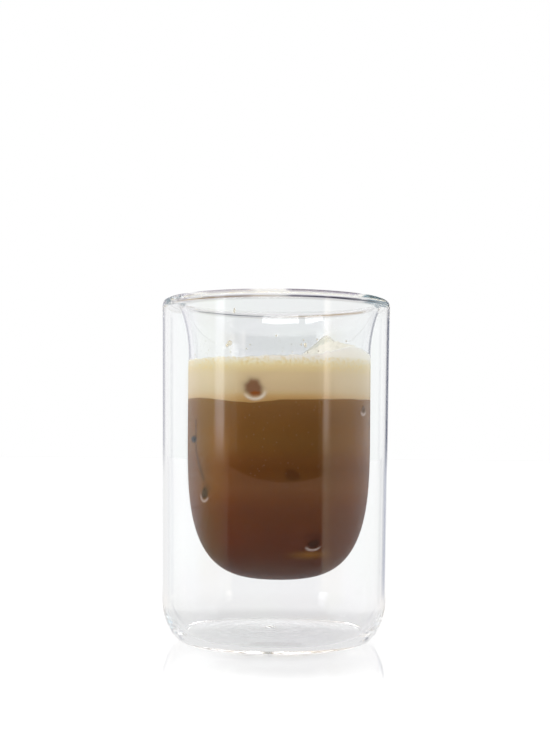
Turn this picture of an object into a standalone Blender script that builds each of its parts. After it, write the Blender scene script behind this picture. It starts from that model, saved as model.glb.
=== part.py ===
# Iced coffee in a double-walled glass tumbler: the fused glass with its sealed vent, the coffee,
# the foam heaped on it and the ice cube whose corner stands out of the foam.
# Metres, +Z up. The origin is on the surface the glass stands on, under the outer wall's axis.

import math

import bmesh
import bpy
from mathutils import Euler, Vector
from mathutils.geometry import interpolate_bezier

# Outer wall of the glass
HEIGHT = 0.110              # floor to the crest of the rim
RIM_RADIUS = 0.0370         # outside, just under the rim
WALL_TAPER = 0.0009         # the outside radius at the floor is this much smaller
WALL = 0.00145              # thickness of the outer wall
CORNER_HEIGHT = 0.012       # where the wall starts to turn in towards the foot
CORNER_POWER = 1.6          # superellipse exponent of that turn, 2 being an ellipse
FOOT_RADIUS = 0.030         # outer edge of the flat ring that stands on the table
FOOT_WIDTH = 0.003
PUSH_UP = 0.0012            # how high the bottom is domed above the table in the middle
FLOOR_THICKNESS = 0.0017

# Inner cup, measured on its outside, the side that faces the air gap
CUP_RADIUS = 0.02965
CUP_WALL = 0.0014
CUP_BOTTOM = 0.0199         # height of its lowest point
BOWL_TOP = 0.068            # the round bowl ends here and the straight wall starts
BOWL_POWER = 3.25           # superellipse exponent of the bowl
FLARE_FROM = 0.092          # the straight wall ends here and the mouth flares
FLARE_TO = 0.109
FLARE = 0.0035              # how much the radius has grown at FLARE_TO
CUP_OFFSET = 0.0012         # the cup is fused this far off the outer wall's axis, towards +X

# Rim, where the two walls meet
CREST_RADIUS = 0.0348
RIM_ROUND = 0.0022          # outer rounding of the lip
LIP_INSIDE = 0.1066         # the drinking side starts to turn over here
GAP_TOP = 0.1082            # top of the air gap under the lip
GAP_CREST_RADIUS = 0.03415
GAP_SHOULDER = 0.1068       # where the top of the air gap starts to round over

# Sealed vent in the middle of the bottom
VENT_RADIUS = 0.0011
VENT_OFFSET = -0.0013
VENT_REACH = 0.015          # the bottom shares the vent's offset out to this radius

# Drink
FIT = 0.0003                # gap between pieces that touch
COFFEE_TOP = 0.0777
FRONT_DROP = 0.0010         # the coffee's surface is this much lower at the front wall
FOAM_TOP = 0.0906
HEAP = Vector((0.0192, -0.0005))    # middle of the foam heaped over the ice, seen from above
HEAP_HEIGHT = 0.0060
HEAP_REACH = Vector((0.0095, 0.0120))

# Ice cube
ICE_EDGE = 0.0165
ICE_ROUND = 0.0016
ICE_CENTRE = Vector((0.0155, -0.0043, 0.0860))
ICE_TURN = (-120.8, 26.9, 150.1)    # degrees, about X, Y and Z in turn

SEGMENTS = 56
BOWL_POINTS = 9


def clear_scene():
    for obj in list(bpy.data.objects):
        bpy.data.objects.remove(obj, do_unlink=True)


def new_collection(name):
    collection = bpy.data.collections.new(name)
    bpy.context.scene.collection.children.link(collection)
    return collection


def new_material(name, colour, roughness, transmission=0.0, ior=1.45):
    material = bpy.data.materials.new(name)
    material.use_nodes = True
    shader = material.node_tree.nodes["Principled BSDF"]
    shader.inputs["Base Color"].default_value = (*colour, 1.0)
    shader.inputs["Roughness"].default_value = roughness
    shader.inputs["Metallic"].default_value = 0.0
    shader.inputs["Transmission Weight"].default_value = transmission
    shader.inputs["IOR"].default_value = ior
    return material


def outer_radius(z):
    # The outer wall is a slight cone, widest at the rim.
    return RIM_RADIUS - WALL_TAPER * (HEIGHT - z) / HEIGHT


def cup_radius(z, inset=0.0):
    # Straight above the bowl, then a mouth that flares with the square of the height.
    rise = max(0.0, (z - FLARE_FROM) / (FLARE_TO - FLARE_FROM))
    return CUP_RADIUS - inset + FLARE * rise**2


def bowl(inset=0.0, points=BOWL_POINTS):
    # The round lower half of the cup, from its lowest point on the axis up to BOWL_TOP.
    depth = BOWL_TOP - CUP_BOTTOM - inset
    power = 2.0 / BOWL_POWER
    profile = []
    for i in range(points + 1):
        angle = 0.5 * math.pi * i / points
        radius = (CUP_RADIUS - inset) * math.sin(angle) ** power
        profile.append((radius, BOWL_TOP - depth * max(0.0, math.cos(angle)) ** power))
    profile[0] = (0.0, BOWL_TOP - depth)
    profile[-1] = (CUP_RADIUS - inset, BOWL_TOP)
    return profile


def flare(top, inset=0.0, points=3):
    # The mouth of the cup, from the top of its straight wall up to the height given.
    heights = [FLARE_FROM + (top - FLARE_FROM) * i / points for i in range(points + 1)]
    return [(cup_radius(z, inset), z) for z in heights]


def flare_direction(z):
    slope = 2.0 * FLARE * (z - FLARE_FROM) / (FLARE_TO - FLARE_FROM) ** 2
    return Vector((slope, 1.0)).normalized()


def corner(centre_radius, reach, low, points):
    # The turn from the wall down to the foot: a quarter of a superellipse.
    power = 2.0 / CORNER_POWER
    profile = []
    for i in range(points + 1):
        angle = 0.5 * math.pi * i / points
        out = reach * max(0.0, math.cos(angle)) ** power
        down = (CORNER_HEIGHT - low) * math.sin(angle) ** power
        profile.append((centre_radius + out, CORNER_HEIGHT - down))
    return profile


def dome(radius, lift):
    # The bottom of the glass is pushed up, most in the middle.
    edge = FOOT_RADIUS - FOOT_WIDTH
    return lift + PUSH_UP * (1.0 - (radius / edge) ** 2)


def curve(start, start_pull, end_pull, end, points):
    return [tuple(p) for p in interpolate_bezier(start, start_pull, end_pull, end, points)]


def lip_inside():
    # From the drinking side over to the crest of the rim.
    start = Vector((cup_radius(LIP_INSIDE, CUP_WALL), LIP_INSIDE))
    end = Vector((CREST_RADIUS, HEIGHT))
    pull = 0.55 * (end - start).length
    return curve(start, start + pull * flare_direction(LIP_INSIDE), end - Vector((pull, 0.0)), end, 6)


def lip_outside():
    # From the crest of the rim round to the outer wall.
    low = HEIGHT - RIM_ROUND
    points = []
    for i in range(1, 5):
        angle = 0.5 * math.pi * i / 4
        radius = CREST_RADIUS + (outer_radius(low) - CREST_RADIUS) * math.sin(angle)
        points.append((radius, low + RIM_ROUND * math.cos(angle)))
    return points


def gap_top():
    # The air gap ends in a rounded top under the rim.
    outside = Vector((outer_radius(GAP_SHOULDER) - WALL, GAP_SHOULDER))
    inside = Vector((cup_radius(GAP_SHOULDER), GAP_SHOULDER))
    crest = Vector((GAP_CREST_RADIUS, GAP_TOP))
    rise = Vector((0.0, 0.55 * (GAP_TOP - GAP_SHOULDER)))
    reach = Vector((0.55 * (outside.x - GAP_CREST_RADIUS), 0.0))
    up = curve(outside, outside + rise, crest + reach, crest, 4)
    down = curve(crest, crest - reach, inside + rise.y * flare_direction(GAP_SHOULDER), inside, 4)
    return up + down[1:]


def glass_profile():
    # One line from the cup's floor on the axis, up the drinking side, over the rim, down the outer
    # wall, in under the foot, up through the vent and round the air gap to the axis under the cup.
    drinking_side = bowl(CUP_WALL) + flare(LIP_INSIDE, CUP_WALL)
    wall_radius = outer_radius(CORNER_HEIGHT)
    outside = corner(FOOT_RADIUS, wall_radius - FOOT_RADIUS, 0.0, 7)
    edge = FOOT_RADIUS - FOOT_WIDTH
    underside = [(edge, 0.0)] + [(r, dome(r, 0.0)) for r in (0.7 * edge, 0.35 * edge, VENT_RADIUS)]
    gap_edge = FOOT_RADIUS - WALL
    gap_floor = [(r, dome(r, FLOOR_THICKNESS)) for r in (VENT_RADIUS, 0.35 * edge, 0.7 * edge, edge)]
    gap_reach = wall_radius - WALL - gap_edge
    gap_corner = corner(gap_edge, gap_reach, FLOOR_THICKNESS, 5)[::-1]
    under_cup = flare(GAP_SHOULDER)[::-1][1:] + bowl()[::-1]
    return (
        drinking_side + lip_inside()[1:] + lip_outside() + outside
        + underside + gap_floor + gap_corner + gap_top() + under_cup
    )


def turned(name, profile, collection, material):
    # A profile of (radius, height) points turned about the Z axis.
    mesh = bpy.data.meshes.new(name)
    points = [(radius, 0.0, height) for radius, height in profile]
    mesh.from_pydata(points, [(i, i + 1) for i in range(len(points) - 1)], [])
    guide = bpy.data.objects.new(name, mesh)
    collection.objects.link(guide)
    screw = guide.modifiers.new("Turn", "SCREW")
    screw.axis = "Z"
    screw.steps = SEGMENTS
    screw.render_steps = SEGMENTS
    screw.use_merge_vertices = True
    screw.merge_threshold = 0.00001
    screw.use_smooth_shade = True
    bpy.context.view_layer.update()
    evaluated = guide.evaluated_get(bpy.context.evaluated_depsgraph_get())
    solid = bpy.data.meshes.new_from_object(evaluated)
    guide.modifiers.clear()
    guide.data = solid
    bpy.data.meshes.remove(mesh)
    solid.name = name
    solid.materials.append(material)
    solid.set_sharp_from_angle(angle=math.radians(40))
    return guide


def reshape(obj, rule):
    # Moves each vertex to where the rule sends it.
    for vertex in obj.data.vertices:
        vertex.co = rule(vertex.co)


def fade(value, start, end):
    # 1 up to start, 0 from end on, smooth between.
    share = min(1.0, max(0.0, (value - start) / (end - start)))
    return 1.0 - share * share * (3.0 - 2.0 * share)


def off_centre(point):
    # The cup and the vent each sit a little off the outer wall's axis. The rim shares the cup's
    # offset between its inner and outer edge, and the bottom the vent's.
    radius = math.hypot(point.x, point.y)
    if point.z > CORNER_HEIGHT:
        share = fade(radius, cup_radius(point.z), outer_radius(point.z) - WALL)
        return point + Vector((CUP_OFFSET * share, 0.0, 0.0))
    return point + Vector((VENT_OFFSET * fade(radius, VENT_RADIUS, VENT_REACH), 0.0, 0.0))


def coffee_surface(x, y):
    # Where the coffee ends and the foam starts: level, but a little lower towards the front.
    front = max(0.0, -y / CUP_RADIUS)
    return COFFEE_TOP - FRONT_DROP * front**2


def heap(x, y):
    # The foam stands up in one smooth heap over the ice cube.
    away = Vector(((x - HEAP.x) / HEAP_REACH.x, (y - HEAP.y) / HEAP_REACH.y))
    return HEAP_HEIGHT * math.exp(-away.length_squared)


def make_glass(collection):
    material = new_material("borosilicate glass", (1.0, 1.0, 1.0), 0.0, 1.0, 1.473)
    glass = turned("glass", glass_profile(), collection, material)
    reshape(glass, off_centre)
    return glass


def make_vent_seal(collection):
    # The drop of glass that closes the vent, with the gap that touching pieces keep.
    low = PUSH_UP
    high = PUSH_UP + FLOOR_THICKNESS
    bpy.ops.mesh.primitive_cylinder_add(
        vertices=16, radius=VENT_RADIUS - FIT, depth=high - low,
        location=(VENT_OFFSET, 0.0, 0.5 * (low + high)),
    )
    seal = bpy.context.object
    seal.name = "vent_seal"
    seal.data.name = "vent_seal"
    round_edge = seal.modifiers.new("Round", "BEVEL")
    round_edge.width = 0.0003
    round_edge.segments = 2
    seal.data.materials.append(new_material("seal glass", (0.8, 0.8, 0.78), 0.15, 0.6, 1.473))
    move_to(seal, collection)
    return seal


def make_coffee(collection):
    inset = CUP_WALL + FIT
    profile = bowl(inset) + [(cup_radius(COFFEE_TOP, inset), COFFEE_TOP)]
    rings = (0.85, 0.6, 0.3, 0.0)
    profile += [(share * CUP_RADIUS, COFFEE_TOP) for share in rings]
    # The profile runs up the side, so it is turned over to run down it.
    coffee = turned("coffee", profile[::-1], collection, new_material("coffee", (0.13, 0.05, 0.016), 0.25))

    def place(point):
        moved = point + Vector((CUP_OFFSET, 0.0, 0.0))
        if point.z > COFFEE_TOP - FIT:
            moved.z = coffee_surface(moved.x, moved.y) - FIT
        return moved

    reshape(coffee, place)
    return coffee


def make_foam(collection):
    inset = CUP_WALL + FIT
    side = CUP_RADIUS - inset
    rings = [share * side for share in (0.0, 0.16, 0.32, 0.46, 0.6, 0.72, 0.84, 0.93)]
    top = [(radius, FOAM_TOP) for radius in rings]
    wall = [(side, FOAM_TOP), (side, 0.5 * (FOAM_TOP + COFFEE_TOP)), (side, COFFEE_TOP)]
    bottom = [(radius, COFFEE_TOP) for radius in (0.7 * side, 0.35 * side, 0.0)]
    profile = top + wall + bottom
    foam = turned("foam", profile, collection, new_material("milk foam", (0.68, 0.53, 0.34), 0.7))

    def place(point):
        moved = point + Vector((CUP_OFFSET, 0.0, 0.0))
        share = (point.z - COFFEE_TOP) / (FOAM_TOP - COFFEE_TOP)
        low = coffee_surface(moved.x, moved.y)
        high = FOAM_TOP + heap(moved.x, moved.y)
        moved.z = low + share * (high - low)
        return moved

    reshape(foam, place)
    return foam


def ice_block(name, edge, rounding, collection):
    bpy.ops.mesh.primitive_cube_add(size=edge, location=ICE_CENTRE)
    block = bpy.context.object
    block.name = name
    block.data.name = name
    block.rotation_euler = Euler([math.radians(angle) for angle in ICE_TURN])
    bevel = block.modifiers.new("Melted edges", "BEVEL")
    bevel.width = rounding
    bevel.segments = 3
    move_to(block, collection)
    return block


def make_ice(collection):
    ice = ice_block("ice_cube", ICE_EDGE, ICE_ROUND, collection)
    ice.data.materials.append(new_material("ice", (0.96, 0.98, 1.0), 0.05, 1.0, 1.31))
    ice.data.shade_smooth()
    ice.data.set_sharp_from_angle(angle=math.radians(40))
    return ice


def cut_round_ice(pieces, cutters):
    # The drink leaves the ice's own shape free, larger by the gap that touching pieces keep.
    room = ice_block("ice_room", ICE_EDGE + 2.0 * FIT, ICE_ROUND + FIT, cutters)
    room.hide_render = True
    room.display_type = "WIRE"
    for piece in pieces:
        cut = piece.modifiers.new("Ice", "BOOLEAN")
        cut.operation = "DIFFERENCE"
        cut.object = room
        cut.solver = "EXACT"


def move_to(obj, collection):
    for owner in list(obj.users_collection):
        owner.objects.unlink(obj)
    collection.objects.link(obj)


def main():
    clear_scene()
    parts = new_collection("greek_iced_coffee")
    cutters = new_collection("cutters")
    make_glass(parts)
    make_vent_seal(parts)
    coffee = make_coffee(parts)
    foam = make_foam(parts)
    make_ice(parts)
    cut_round_ice((coffee, foam), cutters)


main()
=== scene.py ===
# Iced coffee in a double-walled glass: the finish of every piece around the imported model.
# Shapes are worked out in millimetres and go into the meshes in metres.

import math

import bpy
import numpy as np
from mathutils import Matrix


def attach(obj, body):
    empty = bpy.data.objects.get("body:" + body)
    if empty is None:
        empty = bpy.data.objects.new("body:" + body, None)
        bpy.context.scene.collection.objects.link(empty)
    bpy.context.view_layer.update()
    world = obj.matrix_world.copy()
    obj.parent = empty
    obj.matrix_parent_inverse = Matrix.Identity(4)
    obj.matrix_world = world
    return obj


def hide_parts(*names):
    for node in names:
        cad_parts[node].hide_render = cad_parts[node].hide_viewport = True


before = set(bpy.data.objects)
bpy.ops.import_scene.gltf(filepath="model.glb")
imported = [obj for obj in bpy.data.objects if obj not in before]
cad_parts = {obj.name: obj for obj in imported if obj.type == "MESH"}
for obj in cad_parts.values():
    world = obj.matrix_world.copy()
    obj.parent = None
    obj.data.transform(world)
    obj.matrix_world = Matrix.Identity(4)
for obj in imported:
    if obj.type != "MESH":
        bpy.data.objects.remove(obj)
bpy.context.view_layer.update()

millimetre = 0.001


# Small tools for shapes

def smoothStep(value, start, end):
    # 0 up to start, 1 from end on, with no corner between
    share = np.clip((value - start) / (end - start), 0.0, 1.0)
    return share * share * (3.0 - 2.0 * share)


def readOff(pairs, values):
    # a line through (place, value) pairs
    return np.interp(values, *np.array(pairs).T)


def evenly(line, spacing):
    # the same line with its points this far apart along it, and its ends kept
    steps = np.hypot(*np.diff(line, axis=0).T)
    along = np.concatenate([[0.0], np.cumsum(steps)])
    count = max(2, int(round(along[-1] / spacing)) + 1)
    places = np.linspace(0.0, along[-1], count)
    return np.column_stack([np.interp(places, along, line[:, k]) for k in (0, 1)])


def joined(spacedLines):
    # (line, spacing) pairs end to end as one line, without the points that they share
    whole = np.concatenate([evenly(np.array(line), spacing) for line, spacing in spacedLines])
    keep = np.concatenate([[True], np.hypot(*np.diff(whole, axis=0).T) > 1e-4])
    return whole[keep]


def bezier(start, startPull, endPull, end, count=200):
    # cubic Bezier line between two points, by its Bernstein polynomials
    t = np.linspace(0.0, 1.0, count)[:, None]
    return ((1 - t) ** 3 * start + 3 * (1 - t) ** 2 * t * startPull
            + 3 * (1 - t) * t ** 2 * endPull + t ** 3 * end)


def turned(line, segments):
    # a line of (radius, height) carried round Z: x = r cos a, y = r sin a; both its ends lie on the
    # axis and become one pole each
    angles = np.arange(segments) * 2.0 * math.pi / segments
    rings = line[1:-1]
    points = np.empty((len(rings), segments, 3))
    points[..., 0] = rings[:, :1] * np.cos(angles)
    points[..., 1] = rings[:, :1] * np.sin(angles)
    points[..., 2] = rings[:, 1:]
    poles = np.array([[0.0, 0.0, line[0, 1]], [0.0, 0.0, line[-1, 1]]])
    index = np.arange(len(rings) * segments).reshape(len(rings), segments)
    after = np.roll(index, -1, axis=1)
    quads = np.stack([index[:-1], after[:-1], after[1:], index[1:]], axis=-1).reshape(-1, 4)
    first = index.size
    low = np.stack([np.full(segments, first), after[0], index[0]], axis=-1)
    high = np.stack([np.full(segments, first + 1), index[-1], after[-1]], axis=-1)
    return np.concatenate([points.reshape(-1, 3), poles]), [quads, np.concatenate([low, high])]


def ball(rows, columns):
    # unit directions on a grid of latitude and longitude, poles closed
    angle = np.linspace(0.0, math.pi, rows + 1)
    return turned(np.column_stack([np.sin(angle), -np.cos(angle)]), columns)


def together(blocks):
    # (points, faces) blocks as one, each block's faces counted on from the points before it
    firsts = np.cumsum([0] + [len(points) for points, _ in blocks[:-1]])
    faces = [np.concatenate([block[1][kind] + first for block, first in zip(blocks, firsts)])
             for kind in (0, 1)]
    return np.concatenate([points for points, _ in blocks]), faces


def newObject(name, points, faces, material, replaces=(), attributes=None):
    # faces is an array of quads and one of triangles, turned round if the volume comes out negative
    volume = sum(np.einsum("ij,ij->i", points[f[:, 0]], np.cross(points[f[:, k]], points[f[:, k + 1]])).sum()
                 for f in faces for k in range(1, f.shape[1] - 1))
    if volume < 0:
        faces = [f[:, ::-1] for f in faces]
    quads, triangles = faces
    mesh = bpy.data.meshes.new(name)
    mesh.from_pydata((points * millimetre).tolist(), [], quads.tolist() + triangles.tolist())
    for label, values in (attributes or {}).items():
        mesh.attributes.new(label, "FLOAT", "POINT").data.foreach_set("value", values.astype(np.float32))
    mesh.validate()
    mesh.shade_smooth()
    mesh.materials.append(material)
    made = bpy.data.objects.new(name, mesh)
    bpy.context.scene.collection.objects.link(made)
    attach(made, "root")
    if replaces:
        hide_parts(*replaces)
    print("made", name, len(points), "points")


# Small tools for materials

def srgb(hexText):
    # "#rrggbb" to linear light, by the sRGB curve
    parts = np.array([int(hexText[i:i + 2], 16) / 255.0 for i in (1, 3, 5)])
    linear = np.where(parts <= 0.04045, parts / 12.92, ((parts + 0.055) / 1.055) ** 2.4)
    return (*linear.tolist(), 1.0)


def addNode(tree, kind, inputs=(), output=0, stops=(), **settings):
    # a node with its settings, values and links, and the output of it to go on with; inputs is a list for
    # its first sockets or a dictionary by socket, where "#rrggbb" is a colour and any other text is an
    # attribute of the mesh, and stops are a ramp's (place, colour) pairs
    made = tree.nodes.new("ShaderNode" + kind)
    for name, value in settings.items():
        setattr(made, name, value)
    for socket, value in inputs.items() if isinstance(inputs, dict) else enumerate(inputs):
        if isinstance(value, str) and value[0] != "#":
            value = addNode(tree, "Attribute", output="Fac", attribute_name=value)
        if isinstance(value, bpy.types.NodeSocket):
            tree.links.new(value, made.inputs[socket])
        else:
            made.inputs[socket].default_value = srgb(value) if isinstance(value, str) else value
    if stops:
        for _ in stops[2:]:
            made.color_ramp.elements.new(0.5)
        for element, (place, colour) in zip(made.color_ramp.elements, stops):
            element.position = place
            element.color = colour
    return made.outputs[output] if made.outputs else None


def product(tree, value, *factors):
    # all of them multiplied together
    for factor in factors:
        value = addNode(tree, "Math", [value, factor], operation="MULTIPLY")
    return value


def laidOver(tree, colour, covers):
    # colours laid over the first one after another: each is a share, a colour and, if it isn't plain, the
    # way it blends
    for share, over, *blend in covers:
        colour = addNode(tree, "Mix", {0: share, 6: colour, 7: over}, 2, data_type="RGBA",
                         blend_type=blend[0] if blend else "MIX")
    return colour


def layered(tree, place, layers):
    # colours by height, through (height, colour) pairs from the lowest up
    low, high = layers[0][0], layers[-1][0]
    height = addNode(tree, "SeparateXYZ", [place], "Z")
    share = addNode(tree, "MapRange", [height, low * millimetre, high * millimetre])
    stops = [((z - low) / (high - low), srgb(colour)) for z, colour in layers]
    return addNode(tree, "ValToRGB", [share], stops=stops)


def specks(tree, place, spacing, size, most):
    # the most inside small round specks, one in each cell of the spacing in mm, and 0 between them
    away = addNode(tree, "TexVoronoi", {"Vector": place, "Scale": 1.0 / (spacing * millimetre)}, "Distance")
    return addNode(tree, "MapRange", [away, size / spacing, 0.3 * size / spacing, 0.0, most])


def clouds(tree, place, size, limits, most=1.0, detail=2.0):
    # soft blotches of about this size in mm, from 0 where the noise is at its low limit to the most
    noise = addNode(tree, "TexNoise", {
        "Vector": place, "Scale": 1.0 / (size * millimetre), "Detail": detail}, "Fac")
    return addNode(tree, "MapRange", [noise, *limits, 0.0, most])


def newMaterial(name):
    # with its nodes, and the Object coordinates that its patterns lie on
    material = bpy.data.materials.new(name)
    material.use_nodes = True
    tree = material.node_tree
    tree.nodes.clear()
    return material, tree, addNode(tree, "TexCoord", output="Object")


def finished(material, shader):
    addNode(material.node_tree, "OutputMaterial", [shader])
    return material


# The double-walled glass

glass = dict(
    height=110.0, rimRadius=37.0, wallTaper=0.9, wall=1.45,
    cornerHeight=12.0, cornerPower=1.6, footRadius=30.0, footWidth=3.0, footBevel=0.6,
    pushUp=1.2, floorThickness=1.7, ripple=0.03, rippleSpacing=7.5,
    cupRadius=29.65, cupWall=1.4, cupBottom=19.9, bowlTop=68.0, bowlPower=3.25,
    flareFrom=92.0, flareTo=109.0, flare=3.5, cupOffset=1.2,
    crestRadius=34.8, rimRound=2.2, lipInside=106.6,
    gapTop=108.2, gapCrestRadius=34.15, gapShoulder=106.8,
    # how far each end of a rounded edge pulls it, as a share of the edge's length
    pull=0.55,
    ventRadius=1.1, ventOffset=-1.3, ventReach=15.0,
    segments=240, ior=1.473, tint="#feffff", tintDeep="#fefeff", deeper=dict(size=25.0, limits=(0.4, 0.6)),
    # how much less the cup mirrors in the air gap; above the foam only where it turns away to the sides
    mirrorLoss=0.75, mirrorSides=(0.8, 0.95), mirrorFade=2.0,
    # slow waves of the blown wall: their height in mm, then how many of each go round, its slant in mm a
    # radian, where it starts and its share, and the radii and heights between which they come and go
    unevenness=0.015, waves=[(3, 17.0, 0.0, 1.0), (5, -11.0, 1.3, 0.6)],
    wavesOutside=(15.0, 25.0), wavesAbove=(4.0, 14.0), wavesBelow=(100.0, 108.0),
    # the crest is polished clear in front and behind, from none at the first height to full at the
    # second, and has a faint violet line painted on it as a painted reflection of its edge, with its share
    # by degrees from the front
    clearRim=(108.45, 108.95), clearShare=0.85, clearSides=(0.86, 0.95),
    paintedRimLineHeight=(109.35, 109.75), seam="#a9a2b4",
    paintedRimLineSides=[(-76, 0.0), (-71, 0.6), (-56, 0.6), (-52, 0.0), (-46, 0.0), (-42, 0.6), (-16, 0.6),
               (-12, 0.0), (3, 0.0), (6, 1.0), (44, 1.0), (48, 0.0)],
    # painted reflection: a dark blue glint painted into the crest at both sides, where it bends deep
    glint="#5f8799", glintShare=0.7, glintHeight=(108.5, 109.1),
    glintSides=[(-84, 0.0), (-80, 0.8), (-74, 0.8), (-68, 0.0), (50, 0.0), (54, 1.0), (80, 1.0), (84, 0.0)])


def outerRadius(z):
    # a slight cone, widest at the rim
    return glass["rimRadius"] - glass["wallTaper"] * (glass["height"] - z) / glass["height"]


def cupRadius(z, inset=0.0):
    # straight, then a mouth that flares with the square of the height
    rise = np.maximum(0.0, (z - glass["flareFrom"]) / (glass["flareTo"] - glass["flareFrom"]))
    return glass["cupRadius"] - inset + glass["flare"] * rise ** 2


def bowlRadius(z, inset=0.0):
    # the superellipse of the bowl, solved for the radius at a height
    depth = glass["bowlTop"] - glass["cupBottom"] - inset
    drop = np.clip((glass["bowlTop"] - z) / depth, 0.0, 1.0)
    curve = (1.0 - drop ** glass["bowlPower"]) ** (1.0 / glass["bowlPower"])
    return np.where(z < glass["bowlTop"], (glass["cupRadius"] - inset) * curve, cupRadius(z, inset))


def quarter(centre, wide, top, deep, power):
    # superellipse quarter from its bottom out and up: r = centre + wide sin(a)^(2/n),
    # z = top - deep cos(a)^(2/n)
    angle = np.linspace(0.0, 0.5 * math.pi, 2000)
    outward, down = np.clip([np.sin(angle), np.cos(angle)], 0.0, 1.0) ** (2.0 / power)
    return np.column_stack([centre + wide * outward, top - deep * down])


def bowlLine(inset):
    return quarter(0.0, glass["cupRadius"] - inset, glass["bowlTop"],
                   glass["bowlTop"] - glass["cupBottom"] - inset, glass["bowlPower"])


def mouthDirection(z):
    slope = 2.0 * glass["flare"] * (z - glass["flareFrom"]) / (glass["flareTo"] - glass["flareFrom"]) ** 2
    return np.array([slope, 1.0]) / math.hypot(slope, 1.0)


def cupLines(inset, top):
    # one face of the cup from its bottom up: bowl, straight side and flared mouth
    z = np.linspace(glass["flareFrom"], top, 200)
    side = glass["cupRadius"] - inset
    return [(bowlLine(inset), 1.2), ([[side, glass["bowlTop"]], [side, glass["flareFrom"]]], 4.0),
            (np.column_stack([cupRadius(z, inset), z]), 1.0)]


def cornerLine(inset, low):
    # the rounded corner from the foot up to the wall
    centre = glass["footRadius"] - inset
    return quarter(centre, outerRadius(glass["cornerHeight"]) - inset - centre, glass["cornerHeight"],
                   glass["cornerHeight"] - low, glass["cornerPower"])


def domeLine(lift, start, end, ripple=0.0):
    # the bottom, pushed up most in the middle: a parabola, with rings in the glass where a ripple is given
    edge = glass["footRadius"] - glass["footWidth"]
    r = np.linspace(start, end, 200)
    rings = ripple * np.cos(2.0 * math.pi * r / glass["rippleSpacing"])
    return np.column_stack([r, lift + glass["pushUp"] * (1.0 - (r / edge) ** 2) + rings])


def rimLines():
    # from the drinking side over the crest to the outer wall
    inner = np.array([cupRadius(glass["lipInside"], glass["cupWall"]), glass["lipInside"]])
    crest = np.array([glass["crestRadius"], glass["height"]])
    pull = glass["pull"] * np.linalg.norm(crest - inner)
    low = glass["height"] - glass["rimRound"]
    turn = np.linspace(0.0, 0.5 * math.pi, 100)
    reach = outerRadius(low) - glass["crestRadius"]
    outward = np.column_stack([glass["crestRadius"] + reach * np.sin(turn),
                               low + glass["rimRound"] * np.cos(turn)])
    inward = bezier(inner, inner + pull * mouthDirection(glass["lipInside"]),
                    crest - np.array([pull, 0.0]), crest)
    return [(inward, 0.3), (outward, 0.25)]


def footLines():
    # down the outer wall, in under the foot ring and up through the vent to the floor of the air gap
    low = glass["height"] - glass["rimRound"]
    corner = cornerLine(0.0, 0.0)[::-1]
    edge = glass["footRadius"] - glass["footWidth"]
    dome = domeLine(0.0, edge - glass["footBevel"], glass["ventRadius"])
    underside = np.concatenate([[[edge, 0.0]], dome])
    floor = domeLine(glass["floorThickness"], glass["ventRadius"], edge, glass["ripple"])
    return [([[outerRadius(low), low], corner[0]], 4.0), (corner, 0.5),
            ([[glass["footRadius"], 0.0], [edge, 0.0]], 0.8), (underside, 1.2),
            ([underside[-1], floor[0]], 0.6), (floor, 0.6)]


def gapLines(floorEnd):
    # from the floor of the air gap up inside the outer wall and round the gap's top to the cup
    corner = cornerLine(glass["wall"], glass["floorThickness"])
    shoulder = np.array([outerRadius(glass["gapShoulder"]) - glass["wall"], glass["gapShoulder"]])
    cup = np.array([cupRadius(glass["gapShoulder"]), glass["gapShoulder"]])
    crest = np.array([glass["gapCrestRadius"], glass["gapTop"]])
    rise = glass["pull"] * (glass["gapTop"] - glass["gapShoulder"])
    reach = np.array([glass["pull"] * (shoulder[0] - glass["gapCrestRadius"]), 0.0])
    up = bezier(shoulder, shoulder + np.array([0.0, rise]), crest + reach, crest)
    down = bezier(crest, crest - reach, cup + rise * mouthDirection(glass["gapShoulder"]), cup)
    return [([floorEnd, corner[0]], 0.8), (corner, 0.5), ([corner[-1], shoulder], 4.0), (up, 0.25),
            (down, 0.25)]


def glassLine():
    # the whole outline, from the cup's floor round to the underside of the cup, and how many of its
    # points are on the cup's side of the air gap; the numbers are the spacing of the points in mm
    foot = footLines()
    up = cupLines(0.0, glass["gapShoulder"])
    backDown = [(np.array(line)[::-1], spacing) for line, spacing in up[::-1]]
    whole = joined([*cupLines(glass["cupWall"], glass["lipInside"]), *rimLines(), *foot,
                    *gapLines(foot[-1][0][-1]), *backDown])
    return whole, len(joined(backDown))


def offCentre(points):
    # the cup and the vent each sit a little off the outer wall's axis; the rim and the bottom share
    # the offset out between their edges
    radius = np.hypot(points[:, 0], points[:, 1])
    z = points[:, 2]
    cupShare = 1.0 - smoothStep(radius, cupRadius(z), outerRadius(z) - glass["wall"])
    ventShare = 1.0 - smoothStep(radius, glass["ventRadius"], glass["ventReach"])
    moved = points.copy()
    moved[:, 0] += np.where(z > glass["cornerHeight"], glass["cupOffset"] * cupShare,
                            glass["ventOffset"] * ventShare)
    return moved


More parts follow.
